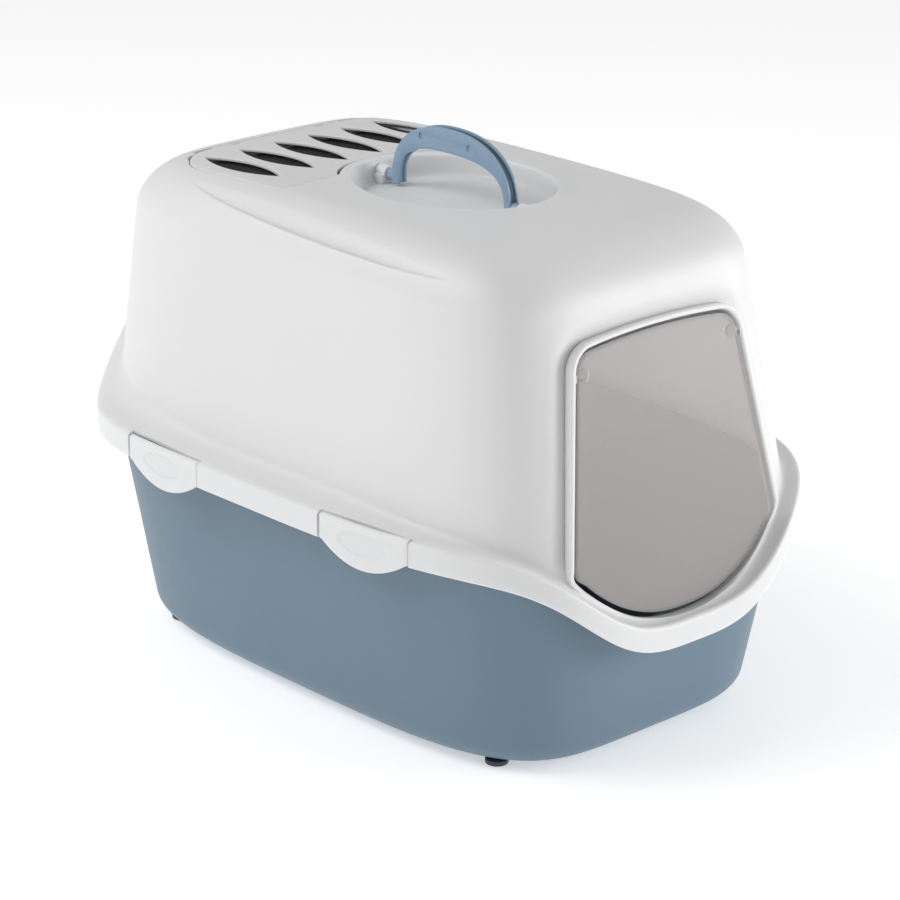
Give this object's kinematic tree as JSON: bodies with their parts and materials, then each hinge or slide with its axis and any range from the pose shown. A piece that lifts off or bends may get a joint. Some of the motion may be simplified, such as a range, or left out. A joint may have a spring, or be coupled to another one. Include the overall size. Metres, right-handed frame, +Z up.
{
  "type": "hooded cat litter box",
  "caption": "Hooded cat litter box: deep tray, clip-on hood with a swing flap, folding carry handle and a hinged slotted vent cover over a filter.",
  "frame": {"origin": "on the floor, under the middle of the tray", "axes": "+Z up, door toward -Y, length along Y, width along X"},
  "size_m": [0.4, 0.56, 0.4375],
  "materials": {
    "tray_plastic": "satin moulded polypropylene, dusty grey-blue",
    "hood_plastic": "satin moulded polypropylene, white",
    "handle_plastic": "satin moulded plastic, powder blue",
    "flap_plastic": "translucent smoke-grey sheet",
    "basket_plastic": "satin moulded plastic, pale lilac grey",
    "charcoal": "black open foam impregnated with carbon",
    "foot_rubber": "matt navy rubber",
    "pin_metal": "plain steel wire"
  },
  "bodies": {
    "tray": {"base_tray": "tray_plastic", "foot_front_left": "foot_rubber", "foot_front_right": "foot_rubber", "foot_rear_left": "foot_rubber", "foot_rear_right": "foot_rubber"},
    "hood": {"hood_shell": "hood_plastic", "flap_socket_left": "hood_plastic", "flap_socket_right": "hood_plastic", "handle_bearing_front": "hood_plastic", "handle_bearing_rear": "hood_plastic", "vent_hinge_pin": "pin_metal", "filter_basket": "basket_plastic", "charcoal_filter": "charcoal", "latch_axle_front_left": "pin_metal", "latch_axle_front_right": "pin_metal", "latch_axle_rear_left": "pin_metal", "latch_axle_rear_right": "pin_metal"},
    "flap": {"door_flap": "flap_plastic"},
    "handle": {"carry_handle": "handle_plastic"},
    "vent": {"vent_cover": "hood_plastic"},
    "clip_front_left": {"latch_front_left": "hood_plastic"},
    "clip_front_right": {"latch_front_right": "hood_plastic"},
    "clip_rear_left": {"latch_rear_left": "hood_plastic"},
    "clip_rear_right": {"latch_rear_right": "hood_plastic"}
  },
  "joints": [
    {"name": "hood_lift", "type": "slide", "parent": "tray", "child": "hood", "axis": [0, 0, 1], "range_m": [0, 0.25]},
    {"name": "flap_swing", "type": "hinge", "parent": "hood", "child": "flap", "pos_m": [0, -0.23242, 0.30968], "axis": [1, 0, 0], "range_deg": [-70, 70]},
    {"name": "handle_fold", "type": "hinge", "parent": "hood", "child": "handle", "pos_m": [0, -0.012, 0.3875], "axis": [0, 1, 0], "range_deg": [-90, 90]},
    {"name": "vent_open", "type": "hinge", "parent": "hood", "child": "vent", "pos_m": [0, 0.203, 0.39019], "axis": [-1, 0, 0], "range_deg": [0, 75]},
    {"name": "clip_front_left_swing", "type": "hinge", "parent": "hood", "child": "clip_front_left", "pos_m": [-0.19073, -0.1235, 0.1893], "axis": [-0.1161, 0.9932, 0], "range_deg": [0, 70]},
    {"name": "clip_rear_left_swing", "type": "hinge", "parent": "hood", "child": "clip_rear_left", "pos_m": [-0.19562, 0.1085, 0.1893], "axis": [0.0266, 0.9996, 0], "range_deg": [0, 70]},
    {"name": "clip_front_right_swing", "type": "hinge", "parent": "hood", "child": "clip_front_right", "pos_m": [0.19073, -0.1235, 0.1893], "axis": [-0.1161, -0.9932, 0], "range_deg": [0, 70]},
    {"name": "clip_rear_right_swing", "type": "hinge", "parent": "hood", "child": "clip_rear_right", "pos_m": [0.19562, 0.1085, 0.1893], "axis": [0.0266, -0.9996, 0], "range_deg": [0, 70]}
  ]
}
